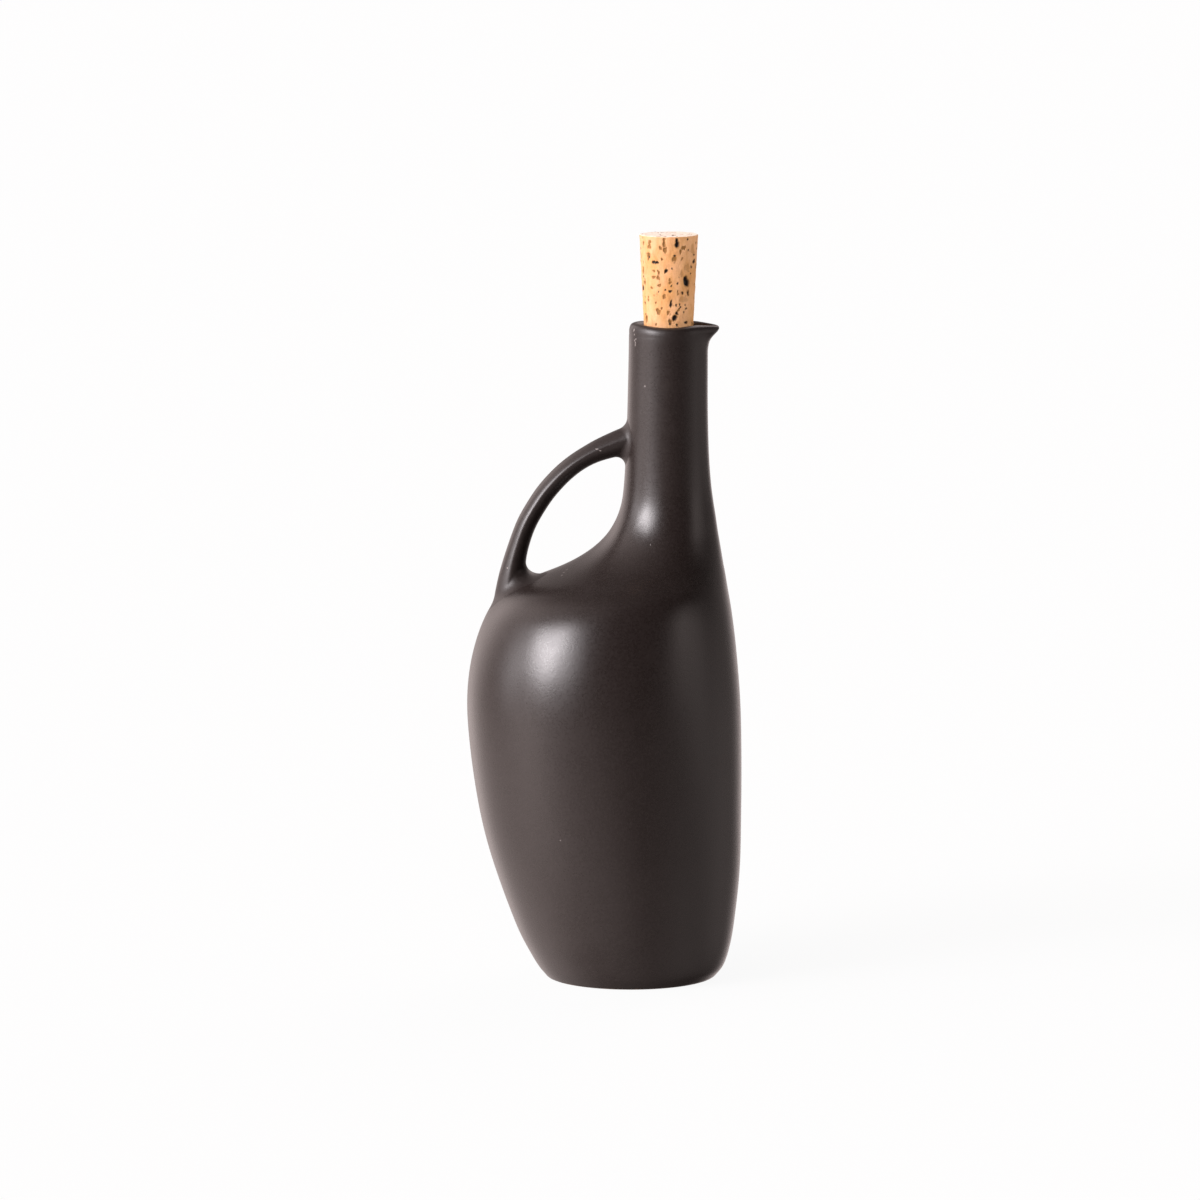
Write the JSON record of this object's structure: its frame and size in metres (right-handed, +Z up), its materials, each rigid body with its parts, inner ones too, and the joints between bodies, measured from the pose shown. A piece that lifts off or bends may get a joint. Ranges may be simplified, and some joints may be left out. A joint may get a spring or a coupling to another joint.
{
  "type": "oil cruet",
  "caption": "Dark stoneware pouring bottle with an off-centre neck, a pinched spout, a loop handle and a tapered cork stopper that pulls out.",
  "frame": {"origin": "centre of the foot, on the surface the cruet stands on", "axes": "+Z up along the neck, +X towards the pouring spout, -X towards the handle; the XZ plane is the cruet's plane of symmetry"},
  "size_m": [0.0968, 0.0962, 0.262],
  "materials": {
    "bottle_glaze": "satin",
    "handle_glaze": "satin",
    "cork": "matte"
  },
  "bodies": {
    "cruet": {"bottle": "bottle_glaze", "handle": "handle_glaze"},
    "stopper": {"cork_stopper": "cork"}
  },
  "joints": [
    {"name": "cork_pull", "type": "slide", "parent": "cruet", "child": "stopper", "axis": [0, 0, 1], "range_m": [0, 0.03]}
  ]
}
